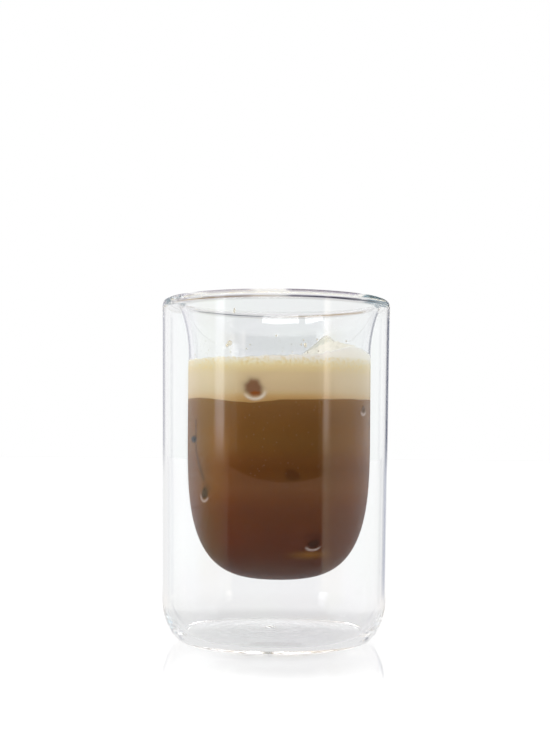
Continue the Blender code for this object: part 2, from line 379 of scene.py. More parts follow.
def glassMaterial():
    # borosilicate, blown in a mould and fire polished: clear, hardly tinted, with a hard sharp gloss
    material, tree, place = newMaterial("blown borosilicate glass")
    tint = laidOver(tree, glass["tint"], [(clouds(tree, place, **glass["deeper"]), glass["tintDeep"])])
    wall = addNode(tree, "BsdfPrincipled", {
        "Base Color": tint, "Roughness": 0.0, "IOR": glass["ior"], "Transmission Weight": 1.0})
    # the cup's side in the gap mirrors the room less than the outer wall does
    faint = addNode(tree, "BsdfRefraction", {"Color": tint, "Roughness": 0.0, "IOR": glass["ior"]})
    inside = addNode(tree, "NewGeometry", output="Backfacing")
    outside = addNode(tree, "Math", [1.0, inside], operation="SUBTRACT")
    onCup = product(tree, "cupOutside", glass["mirrorLoss"], outside)
    both = addNode(tree, "MixShader", [onCup, wall, faint])
    # painted reflection: the faint violet line and the dark blue glints are laid into the colour of the
    # crest's clear part
    seam = laidOver(tree, "#ffffff", [("rimSeam", glass["seam"]), ("rimGlint", glass["glint"])])
    clear = addNode(tree, "BsdfTransparent", [seam])
    return finished(material, addNode(tree, "MixShader", ["clearRim", both, clear]))


def makeGlass():
    line, cupRings = glassLine()
    points, faces = turned(line, glass["segments"])
    z = points[:, 2]
    ring = np.arange(len(points)) // glass["segments"]
    cupOutside = np.where(ring >= len(line) - 2 - cupRings, 1.0, 0.0)
    cupOutside[-2] = 0.0     # the pole on the drinking side
    angle = np.arctan2(points[:, 1], points[:, 0])
    sideways = smoothStep(np.abs(np.cos(angle)), *glass["mirrorSides"])
    cupOutside *= 1.0 - (1.0 - sideways) * smoothStep(z, foam["top"], foam["top"] + glass["mirrorFade"])
    fromSide = 1.0 - smoothStep(np.abs(np.cos(angle)), *glass["clearSides"])
    turn = np.degrees(np.arctan2(points[:, 0], -points[:, 1]))
    # painted reflection: a faint violet line along the crest's edge
    rimSeam = smoothStep(z, *glass["paintedRimLineHeight"]) * readOff(glass["paintedRimLineSides"], turn)
    # painted reflection: dark blue glints at both sides of the crest, which also turn partly clear there
    rimGlint = smoothStep(z, *glass["glintHeight"]) * readOff(glass["glintSides"], turn)
    clearRim = np.maximum(glass["clearShare"] * fromSide * smoothStep(z, *glass["clearRim"]),
                          glass["glintShare"] * rimGlint)
    # the wall's radius swells by h sin(n a + z / s + p), summed over the waves
    wave = sum(strength * np.sin(count * angle + z / slant + start)
               for count, slant, start, strength in glass["waves"])
    radius = np.hypot(points[:, 0], points[:, 1])
    swell = glass["unevenness"] * wave * smoothStep(radius, *glass["wavesOutside"])
    swell *= smoothStep(z, *glass["wavesAbove"]) * (1.0 - smoothStep(z, *glass["wavesBelow"]))
    points[:, :2] *= (1.0 + swell / np.maximum(radius, 1.0))[:, None]
    newObject("glass_tumbler", offCentre(points), faces, glassMaterial(), ["glass"],
              {"cupOutside": cupOutside, "clearRim": clearRim, "rimSeam": rimSeam, "rimGlint": rimGlint})


# The drop of glass that seals the vent

seal = dict(radius=1.07, low=1.25, high=2.95, bulge=0.45, rows=33, segments=32, roughness=0.25,
            clearness=0.6, colour="#e9eae6", milk="#d3d6cf", milky=dict(size=0.5, limits=(0.35, 0.65)))


def makeSeal():
    # a short plug with a rounded head at each end: r = R sin(a)^b, z = middle - reach cos(a)
    angle = np.linspace(0.0, math.pi, seal["rows"])
    side = np.clip(np.sin(angle), 0.0, 1.0) ** seal["bulge"]
    middle, reach = 0.5 * (seal["high"] + seal["low"]), 0.5 * (seal["high"] - seal["low"])
    line = np.column_stack([seal["radius"] * side, middle - reach * np.cos(angle)])
    points, faces = turned(line, seal["segments"])
    points[:, 0] += glass["ventOffset"]
    # flame-sealed glass: a little cloudy, so that it reads as a pale dot in the bottom
    material, tree, place = newMaterial("flame sealed glass drop")
    finished(material, addNode(tree, "BsdfPrincipled", {
        "Base Color": laidOver(tree, seal["colour"], [(clouds(tree, place, **seal["milky"]), seal["milk"])]),
        "Roughness": seal["roughness"], "IOR": glass["ior"], "Transmission Weight": seal["clearness"]}))
    newObject("vent_seal_drop", points, faces, material, ["vent_seal"])


# The coffee

# what a mark on the wall is given by, painted shade with a painted highlight line below it: degrees
# from the front, height, half width, half height, turn of the mark, how dark it is, how bright the
# highlight line below it, where that line is brightest, in degrees from straight down, and how wide it
# is as a share of the mark
touchParts = ("angle", "height", "wide", "high", "turn", "dark", "line", "lineAt", "lineWide")
# how marks end: where the painted shade fades, as shares of the ellipse, how ragged that is, where the
# painted highlight line lies, and how its ends fade
markEdge = dict(dark=(0.6, 1.2), ragged=(0.07, 0.04), lineAt=1.28, lineEnds=(0.2, 0.8))

coffee = dict(
    reachIntoWall=0.2, top=77.7, frontDrop=1.0, segments=400, roughness=0.5,
    # the painted shade where ice touches the wall, and the colour of the pale specks and of the painted
    # highlight lines
    iceShadow="#160b07", airLine="#d9cabd",
    # a lighter golden patch below one of the marks
    stain=dict(angle=25.0, height=29.7, wide=5.0, high=1.1, share=0.6, colour="#a8782f"),
    specks=dict(spacing=1.7, size=0.3, most=0.13),
    cloud="#e9e4e1", cloudy=dict(size=11.0, limits=(0.35, 0.65), most=0.22),
    # milk that has sunk makes the drink paler below a shallow arc on its front
    arc=dict(angle=4.0, height=52.2, bend=0.0038, sides=(-35.0, -29.0, 24.0, 33.0), edge=0.5, fade=16.0,
             share=0.05, colour="#ffd2b4"),
    # degrees from the front and how far the surface stands higher there in mm
    edgeWave=[(-180, 0.0), (-90, 0.2), (-60, 0.55), (-46, 0.45), (-38, 0.15), (-28, -0.3), (-18, -0.5),
              (-10, -0.1), (0, 0.5), (12, 0.55), (24, 0.65), (38, 0.55), (50, 0.6), (62, 0.4), (90, 0.3),
              (180, 0.0)],
    edgeRipples=[(11, 0.05), (29, 0.03)],     # how many go round, and how high they are in mm
    # painted light: degrees from the front and how much lighter the drink is painted there, at its
    # strongest height
    glow=[(-180, 0.0), (-80, 0.1), (-58, 0.12), (-50, 0.22), (-43, 0.42), (-36, 0.42), (-30, 0.25),
          (-24, 0.12), (-17, 0.04), (-6, 0.0), (4, -0.05), (24, -0.07), (34, 0.03), (46, 0.14),
          (60, 0.24), (80, 0.24), (180, 0.0)],
    glowHeights=[(20, 0.0), (30, 0.3), (38, 0.5), (48, 0.7), (54, 1.0), (64, 1.0), (70, 0.6), (75, 0.3),
                 (78, 0.2)],
    # height in mm and colour there, the lowest first
    layers=[(20.0, "#5f372c"), (25.0, "#623a28"), (29.0, "#663720"), (34.5, "#6b361b"), (40.0, "#6f3a14"),
            (43.5, "#743f1b"), (46.6, "#7c471a"), (49.7, "#825124"), (53.0, "#7f5126"), (56.0, "#7d4f24"),
            (59.0, "#85572b"), (62.0, "#8b602e"), (65.0, "#8d6331"), (68.0, "#8f6431"), (71.0, "#906635"),
            (75.0, "#926a3c"), (77.7, "#987345")],
    # where corners of the sunk ice cubes touch the wall, painted as shade and highlight, in touchParts order
    touches=[
        (64.0, 74.6, 1.6, 1.3, 0.0, 0.5, 1.0, 5.0, 0.28), (-66.0, 64.8, 2.6, 1.2, 0.0, 1.0, 0.0, 0.0, 0.2),
        (-53.2, 48.1, 1.6, 2.2, -38.0, 0.8, 0.9, -15.0, 0.17),
        (-50.5, 49.8, 2.2, 1.6, 0.0, 0.25, 0.0, 0.0, 0.2),
        (8.0, 54.2, 2.6, 1.8, -20.0, 0.3, 0.0, 0.0, 0.2), (25.7, 33.2, 2.2, 1.6, 0.0, 0.5, 1.0, 0.0, 0.15),
        (24.5, 35.0, 3.4, 1.7, 0.0, 0.22, 0.0, 0.0, 0.2), (17.5, 31.6, 0.7, 0.4, 0.0, 0.35, 0.0, 0.0, 0.2)],
    # an edge of one of them shows as a painted line of shade along (degrees, height) points
    cubeEdge=dict(path=[(-63.0, 70.5), (-62.5, 61.5), (-58.5, 57.0), (-53.5, 52.4)], wide=0.7, dark=0.45))


def onWall(points):
    # degrees round the cup from the front, and the distance from its axis
    x = points[:, 0] - glass["cupOffset"]
    return np.degrees(np.arctan2(x, -points[:, 1])), np.hypot(x, points[:, 1])


def touchMarks(points, touches):
    # painted shade and highlight: inside an ellipse on the wall the dark share of painted shade is full,
    # and the pale share of painted highlight follows its lower edge: exp(-((reach - at) / wide)^2), where
    # the reach is 1 on the ellipse
    angle, radius = onWall(points)
    dark, pale = np.zeros((2, len(points)))
    for row in touches:
        touch = dict(zip(touchParts, row))
        across = np.radians(angle - touch["angle"]) * radius
        up = points[:, 2] - touch["height"]
        turn = math.radians(touch["turn"])
        alongWide = (across * math.cos(turn) + up * math.sin(turn)) / touch["wide"]
        alongHigh = (up * math.cos(turn) - across * math.sin(turn)) / touch["high"]
        bearing = np.arctan2(alongHigh, alongWide)
        ragged = 1.0 + markEdge["ragged"] @ np.sin([3.0 * bearing + touch["height"], 7.0 * bearing])
        reach = np.hypot(alongWide, alongHigh)
        dark = np.maximum(dark, touch["dark"] * (1.0 - smoothStep(reach * ragged, *markEdge["dark"])))
        down = math.radians(touch["lineAt"])
        facing = (across * math.sin(down) - up * math.cos(down)) / np.maximum(np.hypot(across, up), 0.01)
        edge = np.exp(-((reach - markEdge["lineAt"]) / touch["lineWide"]) ** 2)
        pale = np.maximum(pale, touch["line"] * edge * smoothStep(facing, *markEdge["lineEnds"]))
    return dark, pale


def lineMark(points, mark):
    # painted shade along a line: dark exp(-(d / wide)^2), where d is how far a point is from a line of
    # (degrees, height) points
    angle, radius = onWall(points)
    near = np.full(len(points), 99.0)
    for (a0, z0), (a1, z1) in zip(mark["path"], mark["path"][1:]):
        across, up = np.radians(angle - a0) * radius, points[:, 2] - z0
        alongX, alongZ = np.radians(a1 - a0) * radius, z1 - z0
        share = np.clip((across * alongX + up * alongZ) / (alongX ** 2 + alongZ ** 2), 0.0, 1.0)
        near = np.minimum(near, np.hypot(across - share * alongX, up - share * alongZ))
    return mark["dark"] * np.exp(-(near / mark["wide"]) ** 2)


def belowArc(points):
    # 1 just below the arc height + bend (angle - middle)^2, fading out downwards and at its two ends
    arc = coffee["arc"]
    angle, _ = onWall(points)
    depth = arc["height"] + arc["bend"] * (angle - arc["angle"]) ** 2 - points[:, 2]
    farLeft, left, right, farRight = arc["sides"]
    return (smoothStep(depth, 0.0, arc["edge"]) * np.exp(-np.maximum(0.0, depth) / arc["fade"])
            * smoothStep(angle, farLeft, left) * (1.0 - smoothStep(angle, right, farRight)))


def drinkSurface(x, y):
    # where the coffee ends and the foam starts: level, lower by the square of the way to the front,
    # and at the wall in slow waves and small ripples round it
    front = np.maximum(0.0, -y / glass["cupRadius"])
    angle = np.degrees(np.arctan2(x - glass["cupOffset"], -y))
    wave = readOff(coffee["edgeWave"], angle) + sum(
        high * np.sin(np.radians(count * angle)) for count, high in coffee["edgeRipples"])
    nearWall = (np.hypot(x - glass["cupOffset"], y) / (glass["cupRadius"] - glass["cupWall"])) ** 4
    return coffee["top"] - coffee["frontDrop"] * front ** 2 + wave * nearWall


def coffeeMaterial():
    # brewed coffee with a little milk fat in it: opaque, matt behind the glass, yellower where the
    # foam drains into it and redder below
    material, tree, place = newMaterial("brewed coffee")
    colour = laidOver(tree, layered(tree, place, coffee["layers"]), [
        (clouds(tree, place, **coffee["cloudy"]), coffee["cloud"], "MULTIPLY")])
    # painted light: the colour is made lighter towards the drink's sides
    colour = addNode(tree, "VectorMath", {0: colour, "Scale": "lightness"}, operation="SCALE")
    # pale specks, the paler drink below the arc and the golden patch, then painted shade where ice touches
    # the wall and painted highlight lines below it
    colour = laidOver(tree, colour, [
        (specks(tree, place, **coffee["specks"]), coffee["airLine"]),
        ("sunkMilk", coffee["arc"]["colour"]), ("stain", coffee["stain"]["colour"]),
        ("iceShadow", coffee["iceShadow"]), ("airLine", coffee["airLine"])])
    return finished(material, addNode(tree, "BsdfPrincipled", {
        "Base Color": colour, "Roughness": coffee["roughness"], "Specular IOR Level": 0.0}))


def makeCoffee():
    inset = glass["cupWall"] - coffee["reachIntoWall"]
    side, top = glass["cupRadius"] - inset, coffee["top"]
    line = joined([      # each with the spacing of its points in mm
        (bowlLine(inset), 0.45), ([[side, glass["bowlTop"]], [side, top]], 0.45),
        ([[side, top], [0.0, top]], 2.0)])
    points, faces = turned(line, coffee["segments"])
    points[:, 0] += glass["cupOffset"]
    onTop = points[:, 2] > top - 0.01
    points[onTop, 2] = drinkSurface(points[onTop, 0], points[onTop, 1])
    # painted shade and painted highlight lines where ice touches the wall
    shadow, highlight = touchMarks(points, coffee["touches"])
    shadow = np.maximum(shadow, lineMark(points, coffee["cubeEdge"]))
    angle, radius = onWall(points)
    stain = coffee["stain"]
    away = np.hypot(np.radians(angle - stain["angle"]) * radius / stain["wide"],
                    (points[:, 2] - stain["height"]) / stain["high"])
    # painted light towards the sides of the drink
    lightness = 1.0 + readOff(coffee["glow"], angle) * readOff(coffee["glowHeights"], points[:, 2])
    newObject("coffee_drink", points, faces, coffeeMaterial(), ["coffee"], {
        "iceShadow": shadow, "airLine": highlight, "stain": stain["share"] * np.exp(-away ** 2),
        "lightness": lightness, "sunkMilk": coffee["arc"]["share"] * belowArc(points)})


# The foam

foam = dict(
    top=90.6, intoCoffee=0.3, beyondCoffee=0.03, dip=0.5, dipReach=1.0, segments=320,
    slow=(0.22, 0.12), fine=0.14, lean=0.3,      # heights of its waves and of its rise to the right, in mm
    heap=(18.4, -12.5), heapHeight=5.7, heapReach=(8.4, 9.6, 9.5),
    # height in mm and colour there, in the middle and towards the sides, where paler colours are a painted
    # reflection of the glass
    layers=[(76.5, "#cfa86c"), (78.1, "#dab981"), (79.3, "#dfcb9e"), (80.5, "#e1cfac"), (82.0, "#e0cfab"),
            (84.1, "#e1d0ad"), (85.1, "#e1cfaa"), (86.1, "#e5d5a9"), (87.2, "#ecdcb1"), (87.9, "#efe5bd"),
            (88.5, "#f2ebcf"), (89.2, "#f5f2e2"), (90.0, "#faf8f0"), (90.6, "#fbf9f2")],
    paintedSideLayers=[(76.5, "#dcc093"), (78.1, "#e4cda4"), (79.6, "#e5d7b8"), (81.0, "#e5d9bd"),
                (83.0, "#e5d9bf"), (85.5, "#e4d8bc"), (86.5, "#e4d8b9"), (87.3, "#e6dbba"),
                (88.2, "#e9e0c2"), (89.0, "#ece6cf"), (89.7, "#f0ecdc"), (90.4, "#f6f4e8"),
                (90.6, "#faf8f0")],
    sides=(9.0, 21.0), roughness=0.8,     # how far out the paler side colours, a painted reflection, start and are full
    # the open surface takes this tint from its edge inwards
    openTint="#edebe4", openEdge=(0.2, 0.9),
    # painted shade where the cube's corner touches the wall in the foam, partly the drink's own colour
    # behind it, and a painted highlight
    iceSeen="#8f6b52", iceSeenLow="#9a5a2c", iceHalo="#c0ae90", airLine="#fdfaf2",
    # the cube's corner seen through the foam, painted with the drink's darker inside and shade, its redder
    # lower part, the painted shade round it and a painted highlight line below, in touchParts order
    touches=[(-15.8, 80.7, 3.0, 2.6, -32.0, 1.0, 0.9, 10.0, 0.16),
             (-14.9, 78.7, 1.9, 1.0, 0.0, 1.0, 0.0, 0.0, 0.2),
             (-15.8, 80.7, 4.4, 3.5, -32.0, 0.6, 0.0, 0.0, 0.2)],
    # drained golden flecks, which start and end at these heights
    gold="#ebd9a2", flecks=dict(size=0.8, limits=(0.46, 0.7), detail=3.0), goldShare=0.8,
    goldAbove=(85.0, 87.4), goldBelow=(89.6, 90.9),
    bubbles=900, bubbleSizes=(0.25, 1.3), bubbleHeight=0.42, seed=4)


def foamTop(x, y):
    # level, a little lower away from the wall, with one smooth heap over the ice cube and slow waves;
    # the heap is a Gaussian exp(-(x/a)^2 - (y/b)^2) with its own reach to the left and to the right
    acrossHeap = x - foam["heap"][0]
    awayX = acrossHeap / np.where(acrossHeap < 0.0, foam["heapReach"][0], foam["heapReach"][1])
    awayY = (y - foam["heap"][1]) / foam["heapReach"][2]
    fromWall = glass["cupRadius"] - glass["cupWall"] - np.hypot(x - glass["cupOffset"], y)
    dip = foam["dip"] * (1.0 - np.exp(-np.maximum(0.0, fromWall) / foam["dipReach"]))
    slow = foam["slow"][0] * np.sin(0.31 * x + 0.9) * np.cos(0.27 * y - 0.4)
    slow += foam["slow"][1] * np.sin(0.9 * x - 0.7 * y + 2.0)
    fine = foam["fine"] * np.sin(2.3 * x + 1.1 * y) * np.sin(1.7 * y - 1.3 * x + 0.8)
    lean = foam["lean"] * np.tanh((x + 4.0) / 8.0) - 0.2
    return foam["top"] - dip + slow + fine + lean + foam["heapHeight"] * np.exp(-awayX ** 2 - awayY ** 2)


def bubbleSpots(count, sizes, seed):
    # x, y and radius of bubbles spread evenly over the disc inside the cup, most of them small
    draw = np.random.default_rng(seed)
    inside = glass["cupRadius"] - glass["cupWall"]
    away = inside * np.sqrt(draw.random(count))
    angle = draw.random(count) * 2.0 * math.pi
    radius = sizes[0] + (sizes[1] - sizes[0]) * draw.random(count) ** 4
    return np.column_stack([glass["cupOffset"] + away * np.cos(angle), away * np.sin(angle), radius])


def bubbleRelief(x, y, spots):
    # the highest of the low domes over a point: z = h r sqrt(1 - d^2 / r^2)
    relief = np.zeros(len(x))
    for bubbleX, bubbleY, radius in spots:
        near = np.flatnonzero((np.abs(x - bubbleX) < radius) & (np.abs(y - bubbleY) < radius))
        inside = 1.0 - ((x[near] - bubbleX) ** 2 + (y[near] - bubbleY) ** 2) / radius ** 2
        relief[near] = np.maximum(relief[near], radius * np.sqrt(np.clip(inside, 0.0, 1.0)))
    return foam["bubbleHeight"] * relief


def foamMaterial():
    # milk and coffee froth: fine, matt, paler towards the top where it has drained
    material, tree, place = newMaterial("coffee froth")
    # painted reflection: paler side colours laid over the middle ones towards the sides
    middle, sides = [layered(tree, place, foam[name]) for name in ("layers", "paintedSideLayers")]
    golden = product(tree, clouds(tree, place, **foam["flecks"]), "golden")
    # painted shade and highlight where the ice touches the wall
    colour = laidOver(tree, middle, [
        ("aside", sides), (golden, foam["gold"]), ("open", foam["openTint"], "MULTIPLY"),
        *[(name, foam[name]) for name in ("iceHalo", "iceSeen", "iceSeenLow", "airLine")]])
    return finished(material, addNode(tree, "BsdfPrincipled", {
        "Base Color": colour, "Roughness": foam["roughness"], "Specular IOR Level": 0.0}))


def makeFoam():
    side = glass["cupRadius"] - glass["cupWall"] + coffee["reachIntoWall"] + foam["beyondCoffee"]
    top, low = foam["top"], coffee["top"]
    line = joined([      # each with the spacing of its points in mm
        ([[0.0, top], [side, top]], 0.3), ([[side, top], [side, low]], 0.35),
        ([[side, low], [0.0, low]], 3.0)])
    points, faces = turned(line, foam["segments"])
    points[:, 0] += glass["cupOffset"]
    share = (points[:, 2] - low) / (top - low)
    lower = drinkSurface(points[:, 0], points[:, 1]) - foam["intoCoffee"]
    points[:, 2] = lower + share * (foamTop(points[:, 0], points[:, 1]) - lower)
    surface = share > 0.999
    spots = bubbleSpots(foam["bubbles"], foam["bubbleSizes"], foam["seed"])
    points[surface, 2] += bubbleRelief(points[surface, 0], points[surface, 1], spots)
    x, y, z = (points - np.array([glass["cupOffset"], 0.0, 0.0])).T
    golden = smoothStep(z, *foam["goldAbove"]) * (1.0 - smoothStep(z, *foam["goldBelow"]))
    # painted shade and painted highlight where the ice touches the wall
    (seen, highlight), (seenLow, _), (halo, _) = [touchMarks(points, [touch]) for touch in foam["touches"]]
    # painted reflection towards the sides by the aside share
    newObject("froth", points, faces, foamMaterial(), ["foam"], {
        "aside": smoothStep(np.abs(x), *foam["sides"]), "golden": foam["goldShare"] * golden,
        "open": surface * smoothStep(side - np.hypot(x, y), *foam["openEdge"]), "iceSeen": seen,
        "iceSeenLow": seenLow * seen, "iceHalo": halo, "airLine": highlight})


# The ice cube that stands out of the foam

ice = dict(edge=16.5, squareness=10.0, centre=(15.5, -4.3, 86.0), turn=(-120.8, 26.9, 150.1), lean=-10.0,
           melt=0.21, colour="#f6fafc", ior=1.31, haze=dict(size=3.0, limits=(0.4, 0.7), most=0.1),
           rows=96, columns=144,
           # sunk cubes: a corner of each touches the wall, and an edge of the last one does
           clearance=0.3, cornerShare=0.776, edgeShare=0.66,
           sunk=[dict(edge=14.0, angle=-15.8, height=80.6, dip=25.0, spin=10.0),
                 dict(edge=11.0, angle=8.0, height=54.2, dip=-10.0, spin=20.0),
                 dict(edge=12.0, angle=25.7, height=33.2, dip=-25.0, spin=50.0)],
           sunkEdge=dict(edge=16.5, low=(-53.2, 48.1), high=(-66.0, 64.8)))


def turnMatrix(degrees):
    # turns about X, Y and Z in that order
    a, b, c = np.radians(degrees)
    aboutX = np.array([[1, 0, 0], [0, math.cos(a), -math.sin(a)], [0, math.sin(a), math.cos(a)]])
    aboutY = np.array([[math.cos(b), 0, math.sin(b)], [0, 1, 0], [-math.sin(b), 0, math.cos(b)]])
    aboutZ = np.array([[math.cos(c), -math.sin(c), 0], [math.sin(c), math.cos(c), 0], [0, 0, 1]])
    return aboutZ @ aboutY @ aboutX


def iceBlock(edge, turn, centre):
    # superellipsoid: the distance out is (|x|^n + |y|^n + |z|^n)^(-1/n), with low melt waves on it
    directions, faces = ball(ice["rows"], ice["columns"])
    n = ice["squareness"]
    out = (np.abs(directions) ** n).sum(axis=1) ** (-1.0 / n) * 0.5 * edge
    x, y, z = (directions * out[:, None]).T
    wave = np.sin(0.55 * x + 1.0) * np.sin(0.45 * y + 0.4) + 0.7 * np.sin(0.6 * z - 0.31 * x + 2.0)
    out = out + ice["melt"] * (wave - 0.4)
    return directions * out[:, None] @ turn.T + np.array(centre), faces


def wallPoint(angle, height, inset):
    # a point on the drinking side, this many degrees from the front, and the way out of the wall there
    outward = np.array([math.sin(math.radians(angle)), -math.cos(math.radians(angle)), 0.0])
    radius = float(bowlRadius(height, glass["cupWall"] + inset))
    return np.array([glass["cupOffset"], 0.0, height]) + radius * outward, outward


def axesTurn(first, second, localFirst, localSecond):
    # the turn that carries two local directions, square to each other, to two others that are too
    there = np.stack([first, second, np.cross(first, second)], axis=1)
    here = np.stack([localFirst, localSecond, np.cross(localFirst, localSecond)], axis=1)
    return there @ here.T


def cornerCube(edge, angle, height, dip, spin):
    # a cube with one corner on the wall: the corner's line rises by dip degrees and the cube spins on it
    touch, outward = wallPoint(angle, height, ice["clearance"])
    rise, turn = math.radians(dip), math.radians(spin)
    line = outward * math.cos(rise) + np.array([0.0, 0.0, math.sin(rise)])
    level = np.cross(line, [0.0, 0.0, 1.0])
    level /= np.linalg.norm(level)
    across = level * math.cos(turn) + np.cross(line, level) * math.sin(turn)
    turn = axesTurn(line, across, np.ones(3) / math.sqrt(3.0), np.array([1.0, -1.0, 0.0]) / math.sqrt(2.0))
    return iceBlock(edge, turn, touch - ice["cornerShare"] * edge * line)


def edgeCube(edge, low, high):
    # a cube with one edge along the wall between two (degrees, height) places
    start, _ = wallPoint(*low, ice["clearance"])
    end, _ = wallPoint(*high, ice["clearance"])
    along = (end - start) / np.linalg.norm(end - start)
    middle = 0.5 * (start + end)
    out = middle - np.array([glass["cupOffset"], 0.0, middle[2]])
    out -= along * (out @ along)
    out /= np.linalg.norm(out)
    diagonal = np.array([1.0, 1.0, 0.0]) / math.sqrt(2.0)
    turn = axesTurn(along, out, np.array([0.0, 0.0, 1.0]), diagonal)
    return iceBlock(edge, turn, middle - ice["edgeShare"] * edge * out)


def makeIce():
    # frozen water, wet and melting: clear, with a faint uneven haze in its skin
    material, tree, place = newMaterial("melting ice")
    finished(material, addNode(tree, "BsdfPrincipled", {
        "Base Color": ice["colour"], "Roughness": clouds(tree, place, **ice["haze"]), "IOR": ice["ior"],
        "Transmission Weight": 1.0}))
    turn = turnMatrix((0.0, ice["lean"], 0.0)) @ turnMatrix(ice["turn"])
    points, faces = iceBlock(ice["edge"], turn, ice["centre"])
    newObject("ice_melting", points, faces, material, ["ice_cube"])
    points, faces = together([*[cornerCube(**cube) for cube in ice["sunk"]], edgeCube(**ice["sunkEdge"])])
    newObject("sunk_ice", points, faces, material)


# Drops on the drinking side above the foam

drops = dict(
    # degrees from the front, height, half width and half height of each in mm
    large=[(-32.5, 94.4, 0.9, 0.8), (-34.2, 93.7, 0.5, 0.5), (15.5, 93.7, 0.5, 0.7),
           (-27.0, 104.2, 0.35, 0.9)],
    count=26, angles=(-70.0, 70.0), heights=(91.4, 96.5), size=(0.12, 0.3), tall=1.1, seed=11,
    rows=12, columns=18, intoWall=0.06, colour="#f4efe2", ior=1.333, clearness=0.7,
    haze=dict(size=0.4, limits=(0.3, 0.7), most=0.3))


def makeDrops():
    # each drop is a flattened ball, its back just inside the wall: (w cos, h sin, t) round its middle
    draw = np.random.default_rng(drops["seed"])
    angles = draw.uniform(*drops["angles"], drops["count"])
    low, high = drops["heights"]
    heights = low + (high - low) * draw.random(drops["count"]) ** 2
    sizes = draw.uniform(*drops["size"], drops["count"])
    small = np.column_stack([angles, heights, sizes, drops["tall"] * sizes])
    directions, faces = ball(drops["rows"], drops["columns"])
    blocks = []
    for angle, height, wide, tall in np.concatenate([np.array(drops["large"]), small]):
        middle, outward = wallPoint(angle, height, 0.0)
        across = np.cross(outward, [0.0, 0.0, 1.0])
        thick = 0.5 * min(wide, tall)
        shape = np.stack([across * wide, outward * thick, np.array([0.0, 0.0, tall])])
        blocks.append((directions @ shape + middle - outward * (thick - drops["intoWall"]), faces))
    # drops of milky water: bright and glossy, a little clouded
    material, tree, place = newMaterial("milky water drops")
    finished(material, addNode(tree, "BsdfPrincipled", {
        "Base Color": drops["colour"], "Roughness": clouds(tree, place, **drops["haze"]),
        "IOR": drops["ior"], "Transmission Weight": drops["clearness"]}))
    points, faces = together(blocks)
    newObject("wall_drops", points, faces, material)


# Floor, light and camera

studio = dict(
    # direction round the glass in degrees, 0 in front and + to the right, and how bright it is there:
    # level and above, below the level, and as matt surfaces are lit
    upper=[(-180, 1.0), (-166, 0.95), (-163.5, (0.4, 0.4, 0.46)), (-156, (0.4, 0.4, 0.46)),
           (-153.5, 0.95), (-140, 1.0), (-112, 1.15), (-102, 1.1), (-90, 0.95), (-80, (0.77, 0.77, 0.54)),
           (-64, (0.73, 0.7, 0.42)), (-61.5, 1.9), (-53, 2.25), (-52, 0.32), (-47.5, 0.26),
           (-45.5, 0.03), (48, 0.03), (49.5, (1.9, 1.7, 1.5)), (52.5, (1.9, 1.7, 1.5)),
           (57.5, (0.5, 0.46, 0.38)), (70, (0.54, 0.5, 0.43)), (84, (0.56, 0.5, 0.44)), (92, 0.56),
           (97, 0.65), (104, 0.9), (122, 0.95), (151.5, 0.95), (154, (0.06, 0.07, 0.13)),
           (163.5, (0.06, 0.07, 0.13)), (166, 0.95), (180, 1.0)],
    lower=[(-180, 1.0), (-170, 1.0), (-165, 0.85), (-143, 0.9), (-110, 1.1), (-89, 1.1),
           (-75, (0.75, 0.68, 0.43)), (-64, (0.55, 0.44, 0.22)), (-52.5, (0.42, 0.38, 0.26)),
           (-51, (0.38, 0.34, 0.28)), (-48, (0.32, 0.28, 0.24)), (-46.6, 0.03), (48, 0.03),
           (50, (0.85, 0.74, 0.55)), (54, (0.8, 0.7, 0.52)), (60, (0.56, 0.5, 0.42)),
           (84, (0.56, 0.52, 0.48)), (95, 0.6), (120, 0.85), (148, 0.85), (151, (0.45, 0.47, 0.55)),
           (160, (0.45, 0.47, 0.55)), (163, 0.95), (180, 1.0)],
    matt=[(-180, 1.0), (-90, 1.5), (-45, 1.25), (0, 0.98), (45, 0.98), (90, 1.05), (180, 1.0)],
    brightest=2.5, levels=(-2.3, 0.0),
    # the table in front starts at a sharp edge, and low down at the sides and behind it is white
    table=(0.92, 0.9, 0.88), tableEdge=(-6.0, -9.0), white=0.8, whiteBelow=(-9.0, -14.0),
    whiteBeside=(105.0, 125.0), near=0.9, nearBelow=(-38.0, -60.0),
    ceiling=0.85, ceilingAbove=(24.0, 34.0),
    # softboxes up in front: left and right edge, low and high edge, all in degrees and a little soft
    box=7.0, boxEdge=0.7, boxes=[(-29.0, 26.0, 40.0, 52.0), (-66.0, -38.0, 38.0, 46.0)],
    # the room behind is darker above the backdrop
    behind=0.75, behindAbove=(4.0, 12.0), behindBeside=(140.0, 165.0),
    # the room overhead is dark
    overhead="#b79b76", overheadRight="#3f4659", overheadTurn=(25.0, 60.0), overheadAbove=(42.0, 54.0),
    # the backdrop as it shows through glass, level and higher up, where only strongly bent rays go
    pastGlass="#f7f9f8", pastGlassHigh="#dcdcda", pastGlassAbove=(9.0, 24.0))


# how light the table is by itself and by the light on it, the faint painted shadow in front of the
# glass, how light it shows through the glass, painted darker under it than past it, and its polish;
# sizes and places are in mm
table = dict(width=6000.0, level=-0.03, matt="#bcbcbc", glow=0.6, shade=0.2, shadeAt=(5.0, -43.0, 0.0),
             shadeReach=(12.0, 32.0), glowUnder=0.34, glowPast=0.57, under=(42.0, 66.0),
             polish=0.42, polishFrom=30.3, polishSpan=(-96.0, -31.0))


def raysPast(tree, *ways):
    # for each way, 1 where the light has gone that way before it comes here, and 0 where it hasn't
    depths = addNode(tree, "LightPath").node.outputs
    return [addNode(tree, "Math", [depths[way + " Depth"], 0.5], operation="GREATER_THAN") for way in ways]


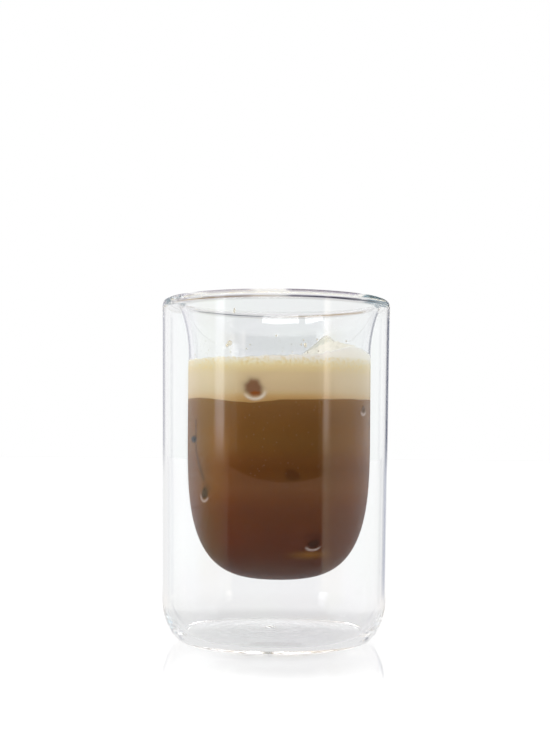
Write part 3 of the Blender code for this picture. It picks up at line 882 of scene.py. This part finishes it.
def studioWorld():
    # white all round for what is seen straight or through glass; reflections see a dark room in
    # front and lit screens at the sides and behind; matt surfaces see the soft mean of it
    world = bpy.data.worlds.new("studio")
    world.use_nodes = True
    tree = world.node_tree
    tree.nodes.clear()
    place = addNode(tree, "TexCoord", output="Generated")
    x, y, height = addNode(tree, "SeparateXYZ", [place]).node.outputs
    around = addNode(tree, "Math", [x, product(tree, y, -1.0)], operation="ARCTAN2")
    aside = addNode(tree, "Math", [around], operation="ABSOLUTE")
    share = addNode(tree, "MapRange", [around, -math.pi, math.pi])
    past, mirrored, scattered = raysPast(tree, "Transmission", "Glossy", "Diffuse")

    def light(value):
        # a grey or a colour as a share of the brightest
        return (*(np.ones(3) * value / studio["brightest"]).tolist(), 1.0)

    def screens(name):
        stops = [((angle + 180.0) / 360.0, light(value)) for angle, value in studio[name]]
        return addNode(tree, "ValToRGB", [share], stops=stops)

    def towards(way, start, end):
        # 0 at the first angle in degrees and 1 at the second, smooth between; a height goes by its sine
        limits = [math.radians(start), math.radians(end)]
        if way == height:
            limits = [math.sin(limit) for limit in limits]
        return addNode(tree, "MapRange", [way, *limits], interpolation_type="SMOOTHSTEP")

    def upwards(name):
        return towards(height, *studio[name])

    dark = laidOver(tree, studio["overhead"], [
        (towards(around, *studio["overheadTurn"]), studio["overheadRight"])])
    dark = addNode(tree, "VectorMath", {0: dark, "Scale": 1.0 / studio["brightest"]}, operation="SCALE")
    besideLow = product(tree, towards(aside, *studio["whiteBeside"]), upwards("whiteBelow"))
    behind = product(tree, upwards("behindAbove"), towards(aside, *studio["behindBeside"]), past)
    lit = laidOver(tree, screens("lower"), [
        (upwards("levels"), screens("upper")), (upwards("tableEdge"), light(studio["table"])),
        (upwards("nearBelow"), light(studio["near"])), (besideLow, light(studio["white"])),
        (upwards("ceilingAbove"), light(studio["ceiling"])), (upwards("overheadAbove"), dark),
        (behind, light(studio["behind"]))])
    edge = studio["boxEdge"]
    for left, right, low, high in studio["boxes"]:
        inBox = product(tree, towards(around, left, left + edge), towards(around, right, right - edge),
                        towards(height, low, low + edge), towards(height, high, high - edge))
        lit = laidOver(tree, lit, [(inBox, light(studio["box"]))])

    pastGlass = laidOver(tree, studio["pastGlass"], [(upwards("pastGlassAbove"), studio["pastGlassHigh"])])
    white = addNode(tree, "Background", [laidOver(tree, "#ffffff", [(past, pastGlass)]), 1.0])
    dim = addNode(tree, "Background", [lit, studio["brightest"]])
    soft = addNode(tree, "Background", [screens("matt"), studio["brightest"]])
    seen = addNode(tree, "MixShader", [mirrored, white, dim])
    addNode(tree, "OutputWorld", [addNode(tree, "MixShader", [scattered, seen, soft])])
    bpy.context.scene.world = world


def makeFloor():
    # a wide pale table: its glow is painted darker where the glass would keep the light from it, as
    # painted shade and shadow, and its polish mirrors the glass faintly in front
    bpy.ops.mesh.primitive_plane_add(size=table["width"] * millimetre,
                                     location=(0.0, 0.0, table["level"] * millimetre))
    floor = bpy.context.object
    floor.name = "floor"
    material, tree, place = newMaterial("white laminate")
    through, mirrored = raysPast(tree, "Transmission", "Glossy")

    def along(way, limits, low, high):
        # the low value at the first limit in mm and the high one at the second, smooth between
        ends = [limit * millimetre for limit in limits]
        return addNode(tree, "MapRange", [way, *ends, low, high], interpolation_type="SMOOTHSTEP")

    away = addNode(tree, "VectorMath", [place], "Value", operation="LENGTH")
    # painted shade: the glow seen through the glass is lower under it than past it, and a painted shadow
    # lowers it in front
    glowing = along(away, table["under"], table["glowUnder"], table["glowPast"])
    middle = [part * millimetre for part in table["shadeAt"]]
    fromShade = addNode(tree, "VectorMath", [place, middle], "Value", operation="DISTANCE")
    shaded = along(fromShade, table["shadeReach"], table["glow"] - table["shade"], table["glow"])
    strength = addNode(tree, "Mix", {0: through, 2: shaded, 3: glowing}, data_type="FLOAT")
    glow = addNode(tree, "Emission", ["#ffffff", strength])
    lit = addNode(tree, "AddShader", [addNode(tree, "BsdfDiffuse", [table["matt"]]), glow])
    polish = addNode(tree, "BsdfGlossy", {"Color": "#ffffff", "Roughness": 0.0})
    fade = along(addNode(tree, "SeparateXYZ", [place], "Y"), table["polishSpan"], 0.0, table["polish"])
    outside = addNode(tree, "Math", [away, table["polishFrom"] * millimetre], operation="GREATER_THAN")
    surface = addNode(tree, "MixShader", [product(tree, fade, outside), lit, polish])
    clear = addNode(tree, "BsdfTransparent")
    finished(material, addNode(tree, "MixShader", [mirrored, surface, clear]))
    floor.data.materials.append(material)


# metres, degrees and, for the lens and the sensor, millimetres
view = dict(distance=0.410, side=-0.00008, height=0.066, roll=-0.48, lens=62.04, sensor=36.0, rise=0.0973,
            nearest=0.01)


def makeCamera():
    data = bpy.data.cameras.new("camera")
    data.lens = view["lens"]
    data.sensor_width = view["sensor"]
    data.shift_y = view["rise"]
    data.clip_start = view["nearest"]
    camera = bpy.data.objects.new("camera", data)
    camera.location = (view["side"], -view["distance"], view["height"])
    camera.rotation_euler = (math.radians(90.0), math.radians(view["roll"]), 0.0)
    bpy.context.scene.collection.objects.link(camera)
    bpy.context.scene.camera = camera


def lightPaths():
    # a ray crosses many walls of glass before it comes to the coffee or the backdrop
    scene = bpy.context.scene
    scene.view_settings.view_transform = "Standard"
    scene.cycles.blur_glossy = 0.0
    scene.cycles.max_bounces = 200
    scene.cycles.transmission_bounces = 150
    scene.cycles.glossy_bounces = 150
    scene.cycles.diffuse_bounces = 10
    scene.cycles.transparent_max_bounces = 64
    scene.cycles.caustics_reflective = True
    scene.cycles.caustics_refractive = True
    scene.cycles.use_denoising = True


makeCamera()
studioWorld()
makeFloor()
lightPaths()
print("stage is set")
makeGlass()
makeSeal()
makeCoffee()
makeFoam()
makeIce()
makeDrops()
